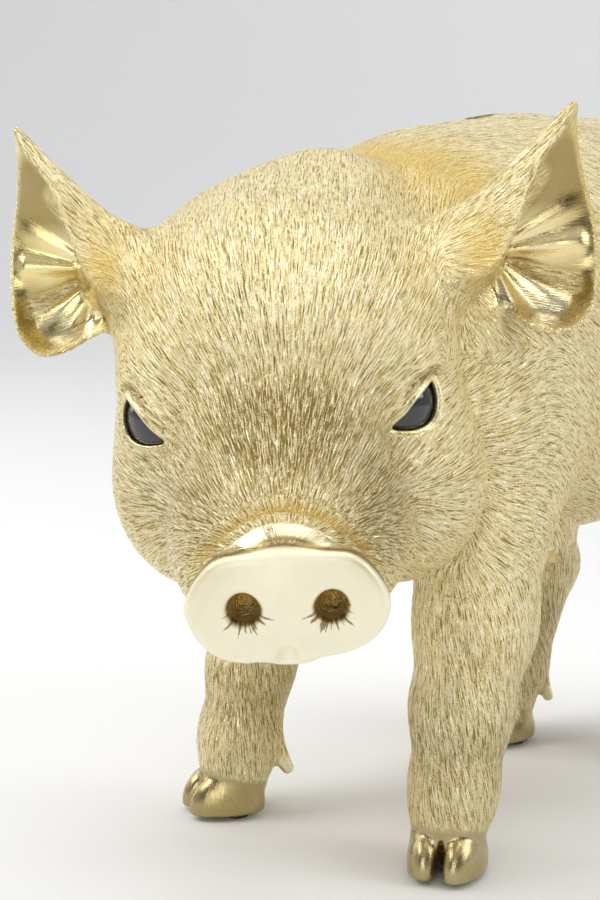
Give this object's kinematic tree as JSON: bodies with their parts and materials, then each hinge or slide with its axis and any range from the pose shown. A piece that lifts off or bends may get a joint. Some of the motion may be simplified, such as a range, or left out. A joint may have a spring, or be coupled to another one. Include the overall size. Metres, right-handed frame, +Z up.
{
  "type": "cast iron still bank",
  "caption": "Piglet-shaped still bank in gold-finished cast iron, with glass eyes, a coin slot on the back and a swivel coin trap under the belly.",
  "frame": {"origin": "on the standing surface, under the centre of the part's box", "axes": "+Z up, the piglet walks along -Y, its own left is +X, its head is turned towards its left"},
  "size_m": [0.1274, 0.2802, 0.197],
  "materials": {
    "gold_casting": "gold lacquer over a finely tooled casting, satin with bright high spots",
    "eye_glass": "dark polished glass",
    "bedding_putty": "matte setting putty",
    "steel_fastener": "plain bright steel",
    "brass_screw": "turned brass",
    "rubber_pad": "matte black rubber"
  },
  "bodies": {
    "bank": {"head_shell": "gold_casting", "body_left_shell": "gold_casting", "body_right_shell": "gold_casting", "tail": "gold_casting", "left_ear": "gold_casting", "left_ear_nut": "steel_fastener", "left_eye_glass": "eye_glass", "left_eye_putty": "bedding_putty", "right_ear": "gold_casting", "right_ear_nut": "steel_fastener", "right_eye_glass": "eye_glass", "right_eye_putty": "bedding_putty", "front_body_screw": "steel_fastener", "rear_body_screw": "steel_fastener", "trap_spring_washer": "steel_fastener", "trap_pivot_screw": "brass_screw", "trap_stop_pin": "steel_fastener", "front_left_outer_hoof_pad": "rubber_pad", "front_left_inner_hoof_pad": "rubber_pad", "front_right_outer_hoof_pad": "rubber_pad", "front_right_inner_hoof_pad": "rubber_pad", "rear_left_outer_hoof_pad": "rubber_pad", "rear_left_inner_hoof_pad": "rubber_pad", "rear_right_outer_hoof_pad": "rubber_pad", "rear_right_inner_hoof_pad": "rubber_pad"},
    "trap": {"trap_plate": "gold_casting"}
  },
  "joints": [
    {"name": "trap_swing", "type": "hinge", "parent": "bank", "child": "trap", "pos_m": [-0.02569, -0.00084, 0.0735], "axis": [0, 0, 1], "range_deg": [0, 100]}
  ]
}
